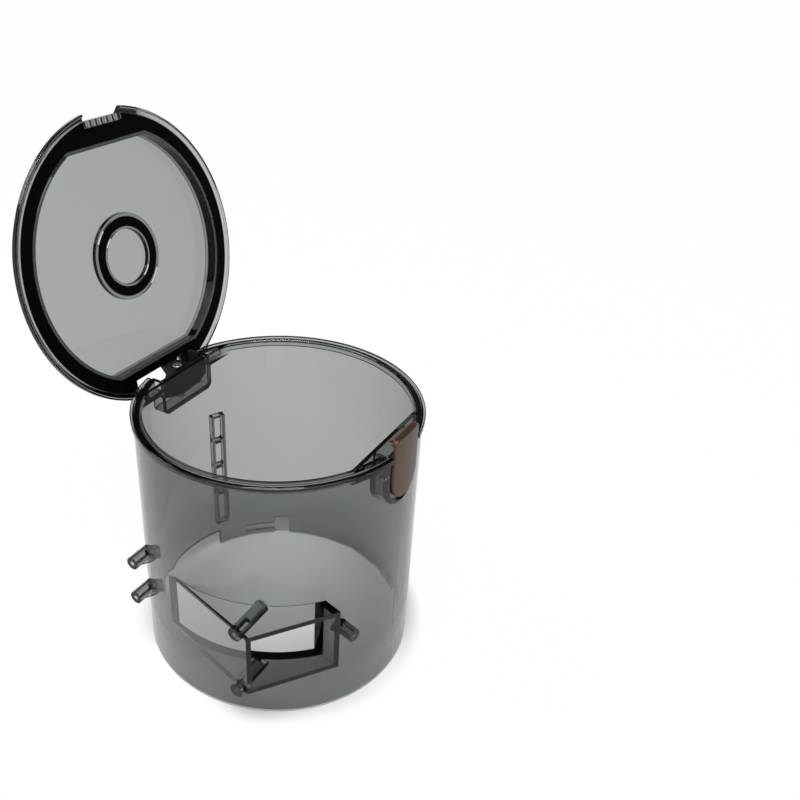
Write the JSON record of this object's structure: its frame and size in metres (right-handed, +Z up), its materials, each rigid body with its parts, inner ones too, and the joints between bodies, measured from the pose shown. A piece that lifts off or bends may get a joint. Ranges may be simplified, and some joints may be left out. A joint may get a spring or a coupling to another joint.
{
  "type": "cyclone dust bin",
  "caption": "Smoky clear cylindrical dust bin with a tangential inlet duct, a sealed hinged lid and a sprung push-button latch, for a cyclone vacuum cleaner.",
  "frame": {"origin": "centre of the lower mouth, on the plane of the foot", "axes": "+Z up along the bin's axis, +X to the latch, -X to the hinge, -Y to the side of the inlet"},
  "size_m": [0.1467, 0.1268, 0.2125],
  "materials": {
    "smoky_clear": "moulded clear polycarbonate with a grey smoke tint, polished",
    "black_rubber": "soft black silicone, satin",
    "black_plastic": "moulded black plastic, fine matt",
    "copper_finish": "moulded plastic with a metallic copper-brown coat",
    "steel": "bright plated steel"
  },
  "bodies": {
    "bin": {"bin_body": "smoky_clear", "hinge_bracket": "black_plastic", "hinge_screw": "steel", "hinge_pin": "steel", "latch_pin": "steel", "latch_spring": "steel"},
    "lid": {"lid": "smoky_clear", "lid_seal": "black_rubber", "centre_seal": "black_rubber", "lid_hinge_arm": "black_plastic"},
    "latch": {"latch_button": "copper_finish", "latch_lever": "black_plastic"}
  },
  "joints": [
    {"name": "lid_hinge", "type": "hinge", "parent": "bin", "child": "lid", "pos_m": [-0.0535, 0, 0.1041], "axis": [0, -1, 0], "range_deg": [-102, 0]},
    {"name": "latch_pivot", "type": "hinge", "parent": "bin", "child": "latch", "pos_m": [0.053, 0, 0.1005], "axis": [0, 1, 0], "range_deg": [0, 10], "stiffness_Nm_per_rad": 0.35, "springref_deg": -8.59, "deforming": ["latch_spring"]}
  ]
}
